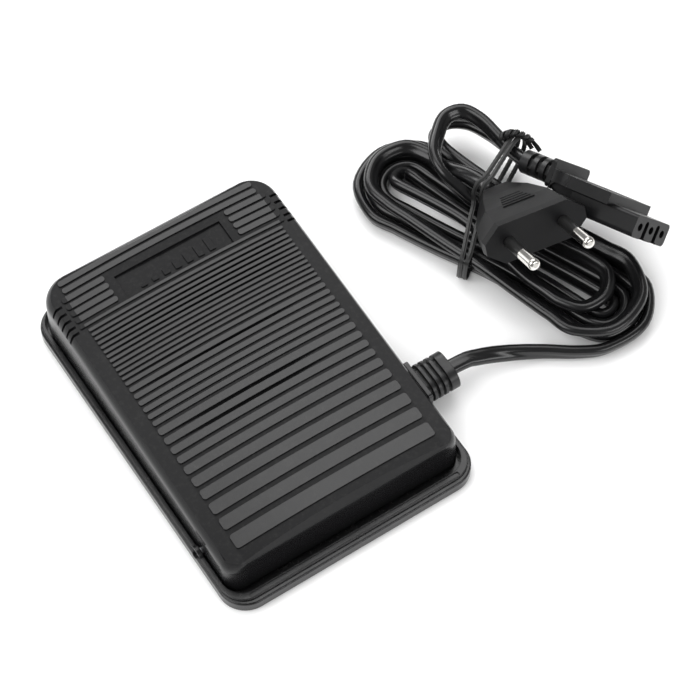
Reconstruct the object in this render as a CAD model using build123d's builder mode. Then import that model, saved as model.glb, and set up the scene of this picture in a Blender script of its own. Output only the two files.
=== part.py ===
from build123d import *
import os
from math import cos, exp, pi, sin, sqrt

os.makedirs("parts", exist_ok=True)

# A sewing machine foot control: a ribbed treadle rocking on a shallow base
# tray, with its flat cord wound in a hank that ends in a two-pin mains plug
# and a machine connector.  Origin: centre of the tray's flat underside.
# +Y points to the toe end, +X to the side where the cord leaves, +Z up.

# ---------------------------------------------------------------- dimensions
BASE_W = 90.0
BASE_L = 125.6
BASE_R = 9.1
UNDERSIDE_Z = 0.0
FLOOR_UNDER_FEET = -0.6
MOAT_Z = 0.8
FLOOR_Z = 1.6
RIM_Z = 3.8
LIP_Z = 4.65
SIDE_STEP = 0.65
SIDE_WALL = 2.1
HEEL_STEP = 1.6
HEEL_WALL = 4.1
TOE_WALL = 1.0

SKIRT_HALF = 42.6
SKIRT_HEEL = -56.5
SKIRT_TOE = 61.5
SKIRT_BOTTOM_Z = 3.25
SKIRT_BOTTOM_SLOPE = 0.0204
SKIRT_WALL = 2.2
TOP_Z = 20.96
TOP_SLOPE = 0.056
CROWN = 1.3
EDGE_ARC = 8.4
EDGE_CUT = 1.25
HEEL_BEVEL = 2.8
HEEL_LEAN = 1.45
TOE_CORNER = 9.2
HEEL_CORNER = 5.6

RIB_HALF = 35.8
RIB_PROUD = 0.55
FIRST_RIB_Y = 37.04
RIB_PITCHES = (
    [1.844] * 11 + [2.24] + [2.755] * 6 + [3.76] * 4
    + [4.34, 4.82, 4.98, 5.79, 5.97, 7.02]
)
TOE_RIBS_Y = (55.85, 53.0)
SHORT_RIBS_Y = (50.1, 47.25, 44.45, 41.65)
PLATE_HALF = 19.4
PLATE_HEEL_Y = 40.6
PLATE_TOE_Y = 50.0
SHORT_RIB_IN = 22.3
RIM_HALF = 38.2

AXLE_Y = -38.8
AXLE_Z = 4.0
AXLE_R = 1.25

CORD_W = 5.4
CORD_T = 3.3
CORD_Y = -28.6
CORD_Z = 7.4

RUN_CLEARANCE = 0.06


def top_z(x, y):
    """Height of the treadle's upper surface at a plan position."""
    return TOP_Z + TOP_SLOPE * y - CROWN * (x / RIB_HALF) ** 2


def save(part, name):
    """Label one finished piece and write it as its own STEP file."""
    part.label = name
    export_step(part, f"parts/{name}.step")


# ----------------------------------------------------------------- base tray
GATE_X0 = SKIRT_HALF + 0.3
GATE_X1 = BASE_W / 2 - SIDE_STEP
GATE_HALF = 7.6
GATE_TOP_Z = 12.2
PIN_BOSS_HALF = 2.6
PIN_BOSS_TOP_Z = 6.6
FOOT_X, FOOT_Y, FOOT_R = 34.0, 49.0, 5.9
BOARD_Z = 5.4
BOARD_POSTS = [(-31.0, -19.0), (25.0, -19.0), (-31.0, 28.0), (25.0, 28.0)]
SPRING_X, SPRING_Y = 27.0, 44.0
LEVER_X, LEVER_Y, LEVER_Z = 12.0, 36.0, 6.9
CLAMP_X = 35.5
STOP_Y = 52.0
STOP_POST_Z = 9.4
CLAMP_POST_Y = 6.4

CAVITY_HEEL = -BASE_L / 2 + HEEL_WALL
CAVITY_TOE = BASE_L / 2 - TOE_WALL
CAVITY_MID = (CAVITY_HEEL + CAVITY_TOE) / 2
CAVITY_LEN = CAVITY_TOE - CAVITY_HEEL

with BuildPart() as base_tray:
    with BuildSketch(Plane.XY.offset(UNDERSIDE_Z)):
        RectangleRounded(BASE_W, BASE_L, BASE_R)
    extrude(amount=RIM_Z - UNDERSIDE_Z)
    rim_edges = base_tray.faces().sort_by(Axis.Z)[-1].outer_wire().edges()
    fillet(rim_edges, radius=0.6)
    # stepped lip that hides the foot of the treadle's skirt
    lip_len = BASE_L - HEEL_STEP - 0.5
    with BuildSketch(Plane.XY.offset(FLOOR_Z)):
        with Locations((0, (HEEL_STEP - 0.5) / 2)):
            RectangleRounded(BASE_W - 2 * SIDE_STEP, lip_len, BASE_R - 1.0)
    extrude(amount=LIP_Z - FLOOR_Z)
    lip_edges = base_tray.faces().sort_by(Axis.Z)[-1].outer_wire().edges()
    fillet(lip_edges, radius=0.3)
    # hollow for the skirt and the works
    with BuildSketch(Plane.XY.offset(MOAT_Z)):
        with Locations((0, CAVITY_MID)):
            RectangleRounded(BASE_W - 2 * SIDE_WALL, CAVITY_LEN, 7.0)
    extrude(amount=10, mode=Mode.SUBTRACT)
    # two ridges across the heel shelf, with a dip between them
    with BuildSketch(Plane.XY.offset(LIP_Z)):
        with Locations((0, -BASE_L / 2 + (HEEL_STEP + HEEL_WALL) / 2 + 0.1)):
            RectangleRounded(76, 1.5, 0.7)
    extrude(amount=-0.5, mode=Mode.SUBTRACT)
    # raised floor inside the moat
    with BuildSketch(Plane.XY.offset(MOAT_Z)):
        with Locations((0, 3)):
            RectangleRounded(77, 106, 4)
    extrude(amount=FLOOR_Z - MOAT_Z)
    # bosses around the axle ends, in both side walls
    for side in (-1, 1):
        wall_mid = side * (GATE_X0 + GATE_X1) / 2
        boss_plane = Plane((wall_mid, AXLE_Y, 0), x_dir=(0, 1, 0), z_dir=(1, 0, 0))
        with BuildSketch(boss_plane):
            with BuildLine():
                Polyline(
                    (-PIN_BOSS_HALF, PIN_BOSS_TOP_Z - PIN_BOSS_HALF),
                    (-PIN_BOSS_HALF, UNDERSIDE_Z + 1),
                    (PIN_BOSS_HALF, UNDERSIDE_Z + 1),
                    (PIN_BOSS_HALF, PIN_BOSS_TOP_Z - PIN_BOSS_HALF),
                )
                ThreePointArc(
                    (PIN_BOSS_HALF, PIN_BOSS_TOP_Z - PIN_BOSS_HALF),
                    (0, PIN_BOSS_TOP_Z),
                    (-PIN_BOSS_HALF, PIN_BOSS_TOP_Z - PIN_BOSS_HALF),
                )
            make_face()
        extrude(amount=(GATE_X1 - GATE_X0) / 2, both=True)
    axle_line = Plane((0, AXLE_Y, AXLE_Z), x_dir=(0, 1, 0), z_dir=(1, 0, 0))
    with BuildSketch(axle_line):
        Circle(AXLE_R + 0.02)
    extrude(amount=BASE_W, both=True, mode=Mode.SUBTRACT)
    # gate in the right-hand wall that holds the cord bushing
    with BuildSketch(Plane((GATE_X0, CORD_Y, 0), x_dir=(0, 1, 0), z_dir=(1, 0, 0))):
        with Locations((0, (FLOOR_Z + GATE_TOP_Z) / 2)):
            RectangleRounded(2 * GATE_HALF, GATE_TOP_Z - FLOOR_Z, 1.2)
    extrude(amount=GATE_X1 - GATE_X0)
    with BuildSketch(Plane((GATE_X0, CORD_Y, CORD_Z), x_dir=(0, 1, 0), z_dir=(1, 0, 0))):
        SlotOverall(11.1, 6.1)
    extrude(amount=6, both=True, mode=Mode.SUBTRACT)
    # posts for the circuit board, the springs, the lever and the cord clamp
    with BuildSketch(Plane.XY.offset(FLOOR_Z)):
        with Locations(*BOARD_POSTS):
            Circle(3.0)
    extrude(amount=BOARD_Z - FLOOR_Z)
    with BuildSketch(Plane.XY.offset(FLOOR_Z)):
        with Locations((-SPRING_X, SPRING_Y), (SPRING_X, SPRING_Y)):
            Circle(2.9)
    extrude(amount=4.0)
    with BuildSketch(Plane.XY.offset(FLOOR_Z)):
        with Locations((LEVER_X - 4.0, LEVER_Y), (LEVER_X + 4.0, LEVER_Y)):
            Rectangle(1.8, 6.0)
    extrude(amount=LEVER_Z + 3.0 - FLOOR_Z)
    with BuildSketch(Plane((LEVER_X, LEVER_Y, LEVER_Z), x_dir=(0, 1, 0), z_dir=(1, 0, 0))):
        Circle(1.02)
    extrude(amount=6, both=True, mode=Mode.SUBTRACT)
    with BuildSketch(Plane.XY.offset(FLOOR_Z)):
        with Locations((CLAMP_X, CORD_Y)):
            Rectangle(5.0, 2 * CLAMP_POST_Y + 5.0)
    extrude(amount=CORD_Z - CORD_T / 2 - FLOOR_Z - 0.02)
    with BuildSketch(Plane.XY.offset(FLOOR_Z)):
        with Locations((0, STOP_Y)):
            Circle(4.0)
    extrude(amount=STOP_POST_Z - FLOOR_Z)
    # blind holes for screws, drilled from above
    with Locations(*[(x, y, BOARD_Z) for x, y in BOARD_POSTS]):
        Hole(1.05, depth=4.2)
    with Locations(*[(CLAMP_X, CORD_Y + s * CLAMP_POST_Y, CORD_Z - CORD_T / 2) for s in (-1, 1)]):
        Hole(1.05, depth=4.6)
    # shallow seats for the rubber feet
    with BuildSketch(Plane.XY.offset(UNDERSIDE_Z)):
        with GridLocations(2 * FOOT_X, 2 * FOOT_Y, 2, 2):
            Circle(FOOT_R + 0.1)
    extrude(amount=0.4, mode=Mode.SUBTRACT)
save(base_tray.part, "base_tray")

with BuildPart() as rubber_feet:
    with BuildSketch(Plane.XY.offset(FLOOR_UNDER_FEET)):
        with GridLocations(2 * FOOT_X, 2 * FOOT_Y, 2, 2):
            Circle(FOOT_R)
    extrude(amount=UNDERSIDE_Z + 0.4 - FLOOR_UNDER_FEET)
    chamfer(rubber_feet.edges().group_by(Axis.Z)[0], length=0.3)
save(rubber_feet.part, "rubber_feet")

# ------------------------------------------------------------- treadle shell
AXIS_X_AT = {"x_dir": (0, 1, 0), "z_dir": (1, 0, 0)}
TOP_DIR = (0, -TOP_SLOPE, 1)
HEEL_BOTTOM_Z = SKIRT_BOTTOM_Z + SKIRT_BOTTOM_SLOPE * SKIRT_HEEL
EAR_X0, EAR_X1 = 39.2, SKIRT_HALF - 0.4
EAR_HALF = 2.8
EAR_FOOT_Z = 1.9
LEVER_ARM = 9.0
PUSH_Y = LEVER_Y + LEVER_ARM
ARCH_HALF = GATE_HALF + 0.7
ARCH_TOP_Z = GATE_TOP_Z + 0.6
CEILING = 3.4
SPRING_PEG_R = 2.7
SPRING_PEG_Z = 15.9
STOP_R = 4.0
STOP_PAD_Z = 14.8
NUB_R = 1.5
PLATE_DEPTH = 1.2
MARK_BARS = 7
MARK_PITCH = 4.2
FINE_RIB = 1.1
LAST_PLATE_RIB_Y = 39.3
NOTCH_RIB_OUT = 37.7
NOTCHES_Y = [y - 0.45 for y in (*SHORT_RIBS_Y, LAST_PLATE_RIB_Y)]


def channel_width(pitch):
    """Width of the channel in front of a rib, wider where ribs are wider."""
    return 0.38 + 0.23 * pitch


def arc_inset(depth):
    """Plan inset of the rolled edge at a depth below the top surface."""
    rise = EDGE_ARC - (depth + EDGE_CUT)
    if rise <= 0:
        return 0.0
    return EDGE_ARC - sqrt(EDGE_ARC**2 - rise**2)


def treadle_section(depth, heel_inset, lean):
    """Outline of the treadle in a plane parallel to its top surface."""
    inset = arc_inset(depth) + lean
    heel = SKIRT_HEEL + heel_inset
    toe = SKIRT_TOE - inset
    toe_r = TOE_CORNER - 0.5 * inset
    heel_r = HEEL_CORNER - 0.4 * heel_inset
    half = SKIRT_HALF - inset
    with BuildSketch(Plane((0, 0, TOP_Z - depth), x_dir=(1, 0, 0), z_dir=TOP_DIR)) as section:
        with BuildLine():
            Line((-half, heel + heel_r), (-half, toe - toe_r))
            RadiusArc((-half, toe - toe_r), (-half + toe_r, toe), toe_r)
            Line((-half + toe_r, toe), (half - toe_r, toe))
            RadiusArc((half - toe_r, toe), (half, toe - toe_r), toe_r)
            Line((half, toe - toe_r), (half, heel + heel_r))
            RadiusArc((half, heel + heel_r), (half - heel_r, heel), heel_r)
            Line((half - heel_r, heel), (-half + heel_r, heel))
            RadiusArc((-half + heel_r, heel), (-half, heel + heel_r), heel_r)
        make_face()
    return section.sketch


def crown_plane(drop):
    """Plane across the treadle, its own Y pointing out of the top surface."""
    return Plane((0, 0, TOP_Z - drop), x_dir=(1, 0, 0), z_dir=(0, -1, -TOP_SLOPE))


# outline of everything above the crowned top line, drawn flat and reused
CROWN_REACH = 60.0
CROWN_DROP = CROWN * (CROWN_REACH / RIB_HALF) ** 2
with BuildSketch() as above_crown:
    with BuildLine():
        ThreePointArc((-CROWN_REACH, -CROWN_DROP), (0, 0), (CROWN_REACH, -CROWN_DROP))
        Polyline(
            (CROWN_REACH, -CROWN_DROP),
            (CROWN_REACH, 40),
            (-CROWN_REACH, 40),
            (-CROWN_REACH, -CROWN_DROP),
        )
    make_face()


def ceiling_z(y):
    """Height of the treadle's inner ceiling over a point of the tray."""
    return TOP_Z + TOP_SLOPE * y - CEILING


def hang(radius, x, y, foot_z):
    """Add a round post from the treadle's ceiling down to foot_z."""
    height = ceiling_z(y) + 1.0 - foot_z
    with Locations((x, y, foot_z)):
        Cylinder(radius, height, align=(Align.CENTER, Align.CENTER, Align.MIN))


def rib(y_front, width, x0, x1):
    """Plan outline of one raised rib, its heel-side face at y_front."""
    with Locations(((x0 + x1) / 2, y_front + width / 2)):
        RectangleRounded(x1 - x0, width, min(0.45 * width, 1.0))


with BuildPart() as channels:
    with BuildSketch(Plane.XY.offset(5)) as plan:
        with Locations((0, 4)):
            Rectangle(100, 140)
        with BuildSketch(mode=Mode.SUBTRACT):
            y = FIRST_RIB_Y
            rib(y, FINE_RIB, -RIB_HALF, RIB_HALF)
            for pitch in RIB_PITCHES:
                y -= pitch
                rib(y, pitch - channel_width(pitch), -RIB_HALF, RIB_HALF)
            for y in TOE_RIBS_Y:
                rib(y, 1.9, -RIB_HALF, RIB_HALF)
            rib(LAST_PLATE_RIB_Y, 1.0, -NOTCH_RIB_OUT, NOTCH_RIB_OUT)
            for y in SHORT_RIBS_Y:
                rib(y, 1.95, -NOTCH_RIB_OUT, -SHORT_RIB_IN)
                rib(y, 1.95, SHORT_RIB_IN, NOTCH_RIB_OUT)
    extrude(amount=40)
    # keep only what lies above the lower crowned surface
    with BuildSketch(crown_plane(RIB_PROUD)):
        add(above_crown.sketch_local)
    extrude(amount=90, both=True, mode=Mode.INTERSECT)


with BuildPart() as treadle:
    # rolled upper edge: a smooth loft, then a straight skirt below it
    depths = [0.0, 0.8, 2.0, 3.8, 5.6, EDGE_ARC - EDGE_CUT]
    rings = []
    for depth in depths:
        heel_inset = HEEL_LEAN + max(0.0, 1.3 - 0.55 * depth)
        rings.append(treadle_section(depth, heel_inset, 0.4))
    loft(sections=rings)
    wall_top = treadle_section(EDGE_ARC - EDGE_CUT, HEEL_LEAN, 0.4)
    wall_foot = treadle_section(22.0, 0.0, 0.0)
    loft(sections=[wall_foot, wall_top], ruled=True)
    # trim the skirt's lower edge
    foot_dir = (0, -SKIRT_BOTTOM_SLOPE, 1)
    with BuildSketch(Plane((0, 0, SKIRT_BOTTOM_Z), x_dir=(1, 0, 0), z_dir=foot_dir)):
        Rectangle(120, 160)
    extrude(amount=-30, mode=Mode.SUBTRACT)
    # bevel along the heel and its mitred return at both heel corners
    rim_y = SKIRT_HEEL + HEEL_LEAN + HEEL_BEVEL
    rim_z = TOP_Z + TOP_SLOPE * rim_y
    with BuildSketch(Plane((0, rim_y, rim_z), x_dir=(1, 0, 0), z_dir=(0, -1, 1))):
        Rectangle(120, 20)
    extrude(amount=10, mode=Mode.SUBTRACT)
    for side in (-1, 1):
        corner = (side * RIM_HALF, rim_y, rim_z)
        with BuildSketch(Plane(corner, x_dir=(0, 1, 0.09), z_dir=(side, -0.09, 1.0))):
            Rectangle(60, 30)
        extrude(amount=10, mode=Mode.SUBTRACT)
    # crown: the top falls away slightly to both sides
    with BuildSketch(crown_plane(0)):
        add(above_crown.sketch_local)
    extrude(amount=90, both=True, mode=Mode.SUBTRACT)
    # channels between the ribs, cut down to a second crowned surface
    add(channels.part, mode=Mode.SUBTRACT)
    # recessed name plate field with a generic rising-speed mark in it
    plate_plane = Plane((0, 0, TOP_Z - RIB_PROUD - PLATE_DEPTH), x_dir=(1, 0, 0), z_dir=TOP_DIR)
    with BuildSketch(plate_plane):
        with Locations((0, (PLATE_HEEL_Y + PLATE_TOE_Y) / 2)):
            Rectangle(2 * PLATE_HALF, PLATE_TOE_Y - PLATE_HEEL_Y)
    extrude(amount=6, mode=Mode.SUBTRACT)
    with BuildSketch(plate_plane):
        for step in range(MARK_BARS):
            bar_h = 1.0 + 0.75 * step
            bar_x = (step - (MARK_BARS - 1) / 2) * MARK_PITCH
            with Locations((bar_x, PLATE_HEEL_Y + 1.6 + bar_h / 2)):
                RectangleRounded(MARK_PITCH * 0.55, bar_h, 0.35)
    extrude(amount=0.45)
    # five notches across the rolled edge on each side, beside the plate
    for side in (-1, 1):
        for y in NOTCHES_Y:
            z = TOP_Z + TOP_SLOPE * y
            notch = Plane((side * 39.4, y, z - 3.0), x_dir=(0, 1, 0), z_dir=(side, 0, 1))
            with BuildSketch(notch):
                Rectangle(0.9, 9.0)
            extrude(amount=8, mode=Mode.SUBTRACT)
    # hollow inside, in two steps so that the rolled edge keeps its thickness
    with BuildSketch(Plane((0, 0, TOP_Z - 5.4), x_dir=(1, 0, 0), z_dir=TOP_DIR)):
        with Locations((0, (SKIRT_HEEL + SKIRT_TOE) / 2 + 0.4)):
            RectangleRounded(
                2 * (SKIRT_HALF - SKIRT_WALL),
                SKIRT_TOE - SKIRT_HEEL - 2 * SKIRT_WALL - 1.6,
                5.0,
            )
    extrude(amount=-40, mode=Mode.SUBTRACT)
    with BuildSketch(Plane((0, 0, TOP_Z - CEILING), x_dir=(1, 0, 0), z_dir=TOP_DIR)):
        with Locations((0, 3)):
            RectangleRounded(70, 100, 4.0)
    extrude(amount=-3, mode=Mode.SUBTRACT)
    # arch that clears the cord gate
    with BuildSketch(Plane((SKIRT_HALF - 6, CORD_Y, 0), **AXIS_X_AT)):
        with Locations((0, ARCH_TOP_Z / 2)):
            RectangleRounded(2 * ARCH_HALF, ARCH_TOP_Z, 1.6)
    extrude(amount=8, mode=Mode.SUBTRACT)
    # ears that turn on the axle
    for side in (-1, 1):
        x_mid = side * (EAR_X0 + EAR_X1) / 2
        with BuildSketch(Plane.XY.offset(EAR_FOOT_Z)):
            with Locations((x_mid, AXLE_Y)):
                Rectangle(EAR_X1 - EAR_X0, 2 * EAR_HALF)
        extrude(amount=ARCH_TOP_Z - EAR_FOOT_Z)
    with BuildSketch(Plane((0, AXLE_Y, AXLE_Z), **AXIS_X_AT)):
        Circle(AXLE_R + RUN_CLEARANCE)
    extrude(amount=BASE_W, both=True, mode=Mode.SUBTRACT)
    # spring pegs, push finger and stop pad hang from the ceiling
    hang(SPRING_PEG_R, -SPRING_X, SPRING_Y, SPRING_PEG_Z)
    hang(SPRING_PEG_R, SPRING_X, SPRING_Y, SPRING_PEG_Z)
    hang(STOP_R - 0.4, 0, STOP_Y, STOP_PAD_Z)
    with BuildSketch(Plane.XY.offset(LEVER_Z + NUB_R + 0.15)):
        with Locations((LEVER_X, PUSH_Y)):
            Rectangle(4.0, 3.0)
    extrude(amount=ceiling_z(PUSH_Y) + 1.0 - (LEVER_Z + NUB_R + 0.15))
save(treadle.part, "treadle")

# ------------------------------------------------------------ axle and clips
CLIP_X = EAR_X0 - 0.5
CLIP_T = 0.6
CLIP_R = 2.3
AXLE_HALF = GATE_X1 - 0.8
with BuildPart() as hinge_axle:
    with BuildSketch(Plane((0, AXLE_Y, AXLE_Z), **AXIS_X_AT)):
        Circle(AXLE_R)
    extrude(amount=AXLE_HALF, both=True)
    for side in (-1, 1):
        groove = Plane((side * CLIP_X, AXLE_Y, AXLE_Z), **AXIS_X_AT)
        with BuildSketch(groove):
            Circle(AXLE_R + 1)
            Circle(AXLE_R - 0.3, mode=Mode.SUBTRACT)
        extrude(amount=CLIP_T / 2 + 0.05, both=True, mode=Mode.SUBTRACT)
save(hinge_axle.part, "hinge_axle")

with BuildPart() as axle_clips:
    for side in (-1, 1):
        with BuildSketch(Plane((side * CLIP_X, AXLE_Y, AXLE_Z), **AXIS_X_AT)):
            Circle(CLIP_R)
            Circle(AXLE_R - 0.27, mode=Mode.SUBTRACT)
            with Locations((0, CLIP_R)):
                Rectangle(1.4, 2 * CLIP_R, mode=Mode.SUBTRACT)
        extrude(amount=CLIP_T / 2, both=True)
save(axle_clips.part, "axle_clips")


# ------------------------------------------------- speed lever and its slide
def screw(x, y, z_seat, head_r, head_h, shank_r, length):
    """Pan-head cross-recess screw, head resting at z_seat."""
    down = (Align.CENTER, Align.CENTER, Align.MAX)
    up = (Align.CENTER, Align.CENTER, Align.MIN)
    with Locations((x, y, z_seat)):
        Cylinder(shank_r, length, align=down)
        Cylinder(head_r, head_h, align=up)
    with Locations((x, y, z_seat + head_h)):
        Box(1.3 * head_r, 0.32 * head_r, 0.9, align=down, mode=Mode.SUBTRACT)
        Box(0.32 * head_r, 1.3 * head_r, 0.9, align=down, mode=Mode.SUBTRACT)


LEVER_TIP = 8.0
with BuildPart() as lever_pin:
    with BuildSketch(Plane((LEVER_X, LEVER_Y, LEVER_Z), **AXIS_X_AT)):
        Circle(1.0)
    extrude(amount=4.8, both=True)
save(lever_pin.part, "lever_pin")

with BuildPart() as speed_lever:
    lever_mid = Plane((LEVER_X, LEVER_Y, LEVER_Z), **AXIS_X_AT)
    with BuildSketch(lever_mid):
        Circle(2.4)
    extrude(amount=2.8, both=True)
    with BuildSketch(lever_mid):
        with Locations((LEVER_ARM / 2, 0)):
            Rectangle(LEVER_ARM, 2.2)
        with Locations((0, LEVER_TIP / 2)):
            Rectangle(1.8, LEVER_TIP)
        with Locations((0, LEVER_TIP)):
            Circle(1.2)
    extrude(amount=1.2, both=True)
    with BuildSketch(lever_mid):
        with Locations((LEVER_ARM, 0)):
            Circle(NUB_R)
    extrude(amount=2.2, both=True)
    with BuildSketch(lever_mid):
        Circle(1.06)
    extrude(amount=4, both=True, mode=Mode.SUBTRACT)
save(speed_lever.part, "speed_lever")

# ------------------------------------------------------------- circuit board
BOARD_T = 1.6
BOARD_TOP = BOARD_Z + BOARD_T
BOARD_X0, BOARD_X1 = -35.0, 29.0
BOARD_Y0, BOARD_Y1 = -23.0, 31.5
UP = (Align.CENTER, Align.CENTER, Align.MIN)
DOWN = (Align.CENTER, Align.CENTER, Align.MAX)

with BuildPart() as circuit_board:
    with BuildSketch(Plane.XY.offset(BOARD_Z)):
        with Locations(((BOARD_X0 + BOARD_X1) / 2, (BOARD_Y0 + BOARD_Y1) / 2)):
            RectangleRounded(BOARD_X1 - BOARD_X0, BOARD_Y1 - BOARD_Y0, 1.5)
        with Locations(*BOARD_POSTS):
            Circle(1.3, mode=Mode.SUBTRACT)
    extrude(amount=BOARD_T)
save(circuit_board.part, "circuit_board")

with BuildPart() as board_screws:
    for x, y in BOARD_POSTS:
        screw(x, y, BOARD_TOP, 2.2, 1.5, 1.0, BOARD_T + 4.0)
save(board_screws.part, "board_screws")

POT_Y0, POT_Y1 = 3.0, 29.0
POT_TOP = BOARD_TOP + 6.0
with BuildPart() as slide_pot:
    with Locations((LEVER_X, (POT_Y0 + POT_Y1) / 2, BOARD_TOP)):
        Box(9.0, POT_Y1 - POT_Y0, POT_TOP - BOARD_TOP, align=UP)
    chamfer(slide_pot.edges().group_by(Axis.Z)[-1], length=0.4)
    with Locations((LEVER_X, (POT_Y0 + POT_Y1) / 2, POT_TOP)):
        Box(1.8, POT_Y1 - POT_Y0 - 4, 4.0, align=DOWN, mode=Mode.SUBTRACT)
save(slide_pot.part, "slide_pot")

FORK_Z0 = LEVER_Z + LEVER_TIP - 1.1
FORK_Z1 = LEVER_Z + LEVER_TIP + 0.9
FORK_Y0, FORK_Y1 = 13.0, LEVER_Y + 3.4
with BuildPart() as wiper_slide:
    with Locations((LEVER_X, 16.0, POT_TOP - 3.7)):
        Box(1.64, 7.0, FORK_Z1 - POT_TOP + 3.7, align=UP)
    with BuildSketch(Plane.XY.offset(FORK_Z0)):
        with Locations((LEVER_X, (FORK_Y0 + FORK_Y1) / 2)):
            RectangleRounded(7.2, FORK_Y1 - FORK_Y0, 1.2)
        with Locations((LEVER_X, LEVER_Y)):
            Rectangle(3.0, 2 * (1.2 + 0.15), mode=Mode.SUBTRACT)
    extrude(amount=FORK_Z1 - FORK_Z0)
save(wiper_slide.part, "wiper_slide")

# ------------------------------------------------ parts soldered to the board
SINK_X, SINK_Y = -18.0, -3.0
with BuildPart() as heat_sink:
    with Locations((SINK_X, SINK_Y, BOARD_TOP)):
        Box(25.0, 18.0, 1.6, align=UP)
    for side in (-1, 1):
        for row in range(3):
            with Locations((SINK_X + side * (11.75 - 2.2 * row), SINK_Y, BOARD_TOP)):
                Box(0.9, 18.0, 6.4, align=UP)
    with Locations((SINK_X, SINK_Y + 5.6, BOARD_TOP)):
        Cylinder(1.25, 3.0, align=UP, mode=Mode.SUBTRACT)
save(heat_sink.part, "heat_sink")

TAB_Z = BOARD_TOP + 1.6
with BuildPart() as triac:
    with BuildSketch(Plane.XY.offset(TAB_Z)):
        with Locations((SINK_X, SINK_Y)):
            RectangleRounded(10.0, 15.6, 0.5)
        with Locations((SINK_X, SINK_Y + 5.6)):
            Circle(1.7, mode=Mode.SUBTRACT)
    extrude(amount=1.2)
    with Locations((SINK_X, SINK_Y - 2.8, TAB_Z)):
        Box(9.9, 9.6, 4.3, align=UP)
    for lead in (-1, 0, 1):
        with Locations((SINK_X + lead * 2.5, SINK_Y - 9.9, TAB_Z + 2.0)):
            Box(0.8, 4.8, 0.5, align=UP)
        with Locations((SINK_X + lead * 2.5, SINK_Y - 12.05, BOARD_TOP)):
            Box(0.8, 0.5, 4.1, align=UP)
save(triac.part, "triac")

with BuildPart() as sink_screw:
    screw(SINK_X, SINK_Y + 5.6, TAB_Z + 1.2, 2.4, 1.5, 1.2, 2.7)
save(sink_screw.part, "sink_screw")

with BuildPart() as film_capacitor:
    with Locations((-20.0, 20.0, BOARD_TOP + 0.6)):
        Box(18.0, 7.0, 7.6, align=UP)
    fillet(film_capacitor.edges(), radius=0.7)
    for side in (-1, 1):
        with Locations((-20.0 + side * 7.5, 20.0, BOARD_TOP)):
            Cylinder(0.4, 1.2, align=UP)
save(film_capacitor.part, "film_capacitor")

CHOKE = (-2.0, 20.0, BOARD_TOP + 2.8)
with BuildPart() as choke_core:
    with Locations(CHOKE):
        Torus(4.7, 2.0)
save(choke_core.part, "choke_core")

with BuildPart() as choke_winding:
    with Locations(Location(CHOKE)):
        with PolarLocations(4.7, 14):
            Torus(2.4, 0.36, rotation=(90, 0, 0))
save(choke_winding.part, "choke_winding")

with BuildPart() as resistors:
    for x in (-30.0, -26.0):
        with Locations((x, 11.0, BOARD_TOP + 1.6)):
            Cylinder(1.25, 6.0, rotation=(90, 0, 0))
            Cylinder(0.3, 9.0, rotation=(90, 0, 0))
        for end in (-1, 1):
            with Locations((x, 11.0 + end * 4.2, BOARD_TOP)):
                Cylinder(0.3, 1.9, align=UP)
save(resistors.part, "resistors")

TERM_X, TERM_Y = 14.0, -16.5
TERM_WIRE_Z = BOARD_TOP + 2.6
with BuildPart() as terminal_block:
    with Locations((TERM_X, TERM_Y, BOARD_TOP)):
        Box(11.0, 8.0, 7.2, align=UP)
    chamfer(terminal_block.edges().group_by(Axis.Z)[-1], length=0.5)
    for side in (-1, 1):
        with BuildSketch(Plane((TERM_X + side * 2.5, TERM_Y - 4.0, TERM_WIRE_Z), z_dir=(0, 1, 0))):
            Circle(1.0)
        extrude(amount=4.0, mode=Mode.SUBTRACT)
        with Locations((TERM_X + side * 2.5, TERM_Y, BOARD_TOP + 7.2)):
            Cylinder(1.75, 2.0, align=DOWN, mode=Mode.SUBTRACT)
save(terminal_block.part, "terminal_block")

with BuildPart() as terminal_screws:
    for side in (-1, 1):
        with Locations((TERM_X + side * 2.5, TERM_Y, BOARD_TOP + 5.2)):
            Cylinder(1.65, 1.4, align=UP)
        with Locations((TERM_X + side * 2.5, TERM_Y, BOARD_TOP + 6.6)):
            Box(2.8, 0.5, 0.6, align=DOWN, mode=Mode.SUBTRACT)
save(terminal_screws.part, "terminal_screws")

# ------------------------------------------------------------ return springs
SPRING_WIRE = 0.5
SPRING_MEAN_R = 3.7
SPRING_LOW = FLOOR_Z + SPRING_WIRE + 0.02
SPRING_HIGH = ceiling_z(SPRING_Y - SPRING_MEAN_R) - SPRING_WIRE - 0.05
with BuildPart() as return_springs:
    for side in (-1, 1):
        coil = Helix(
            pitch=2.6,
            height=SPRING_HIGH - SPRING_LOW,
            radius=SPRING_MEAN_R,
            center=(side * SPRING_X, SPRING_Y, SPRING_LOW),
        )
        with BuildSketch(Plane(coil @ 0, z_dir=coil % 0)):
            Circle(SPRING_WIRE)
        sweep(path=coil, is_frenet=True)
save(return_springs.part, "return_springs")

with BuildPart() as stop_bumper:
    with Locations((0, STOP_Y, STOP_POST_Z)):
        Cylinder(3.6, 2.05, align=UP)
    chamfer(stop_bumper.edges().group_by(Axis.Z)[-1], length=0.5)
save(stop_bumper.part, "stop_bumper")

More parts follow.
